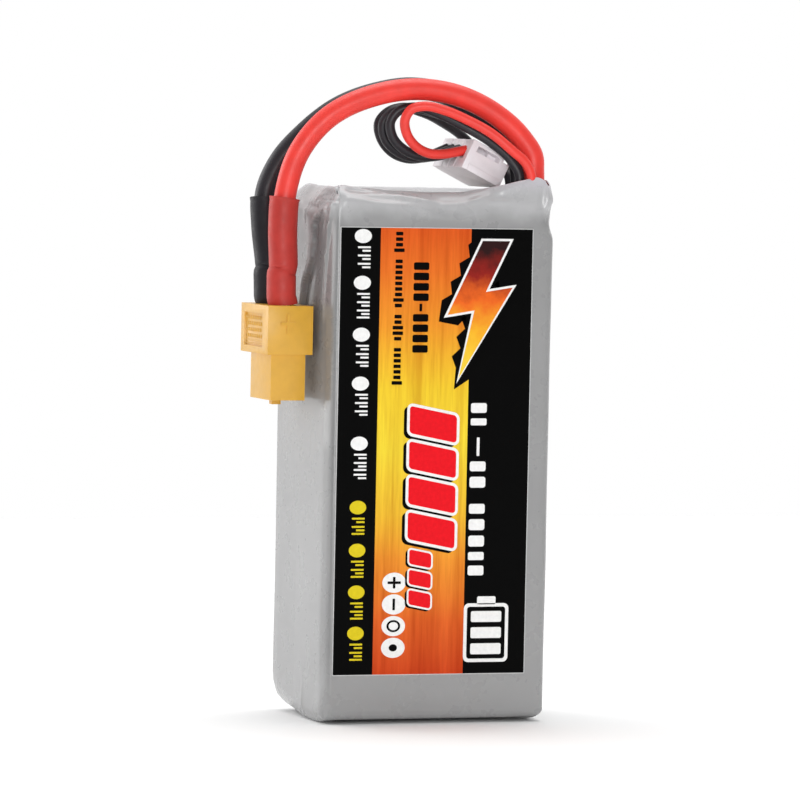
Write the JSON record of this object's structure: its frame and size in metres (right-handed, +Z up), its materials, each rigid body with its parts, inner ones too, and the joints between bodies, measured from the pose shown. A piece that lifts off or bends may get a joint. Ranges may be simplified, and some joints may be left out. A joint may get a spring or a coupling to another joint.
{
  "type": "lipo battery pack",
  "caption": "Pouch-cell battery pack in pale grey shrink film, standing on its end, with two thick leads arched over to a yellow power plug and thin wires to a white balance plug.",
  "frame": {"origin": "middle of the pack's bottom face, where it stands on the ground", "axes": "+Z up along the pack, +X towards the side the leads leave from, -Y out of the labelled front face"},
  "size_m": [0.0501, 0.028, 0.1096],
  "materials": {
    "film": "satin, pale grey shrink film",
    "label_print": "printed label, black, orange and yellow",
    "pouch_foil": "laminated foil, satin",
    "nickel_tab": "nickel plated",
    "aluminium_tab": "plain",
    "foam": "matte foam",
    "board": "green solder mask",
    "red_silicone": "smooth silicone",
    "black_silicone": "smooth silicone",
    "red_heatshrink": "shrunk tube",
    "black_heatshrink": "shrunk tube",
    "yellow_nylon": "moulded, satin",
    "white_nylon": "moulded, satin",
    "gold_contact": "gold plated",
    "tin_contact": "tin plated"
  },
  "bodies": {
    "root": {"shrink_sleeve": "film", "front_label": "label_print", "cell_1": "pouch_foil", "cell_2": "pouch_foil", "cell_3": "pouch_foil", "cell_1_positive_tab": "aluminium_tab", "cell_1_negative_tab": "nickel_tab", "cell_2_positive_tab": "aluminium_tab", "cell_2_negative_tab": "nickel_tab", "cell_3_positive_tab": "aluminium_tab", "cell_3_negative_tab": "nickel_tab", "cell_tape_1": "foam", "cell_tape_2": "foam", "tab_board": "board", "end_pad": "foam", "bottom_pad": "foam", "main_tail_red": "red_silicone", "main_tail_black": "black_silicone", "balance_tail_red": "red_silicone", "balance_tail_black_1": "black_silicone", "balance_tail_black_2": "black_silicone", "balance_tail_black_3": "black_silicone"},
    "main_lead": {"main_lead_red": "red_silicone", "main_lead_black": "black_silicone", "heatshrink_red": "red_heatshrink", "heatshrink_black": "black_heatshrink", "main_plug_housing": "yellow_nylon", "main_contact_positive": "gold_contact", "main_contact_negative": "gold_contact"},
    "balance_lead": {"balance_wire_red": "red_silicone", "balance_wire_black_1": "black_silicone", "balance_wire_black_2": "black_silicone", "balance_wire_black_3": "black_silicone", "balance_plug_housing": "white_nylon", "balance_contact_1": "tin_contact", "balance_contact_2": "tin_contact", "balance_contact_3": "tin_contact", "balance_contact_4": "tin_contact"}
  },
  "joints": [
    {"name": "main_lead_lift", "type": "hinge", "parent": "root", "child": "main_lead", "pos_m": [0.0179, 0, 0.092], "axis": [0, 1, 0], "range_deg": [0, 35]},
    {"name": "balance_lead_swing", "type": "hinge", "parent": "root", "child": "balance_lead", "pos_m": [0.0162, -0.0119, 0.091], "axis": [0, 0, 1], "range_deg": [0, 25]}
  ]
}
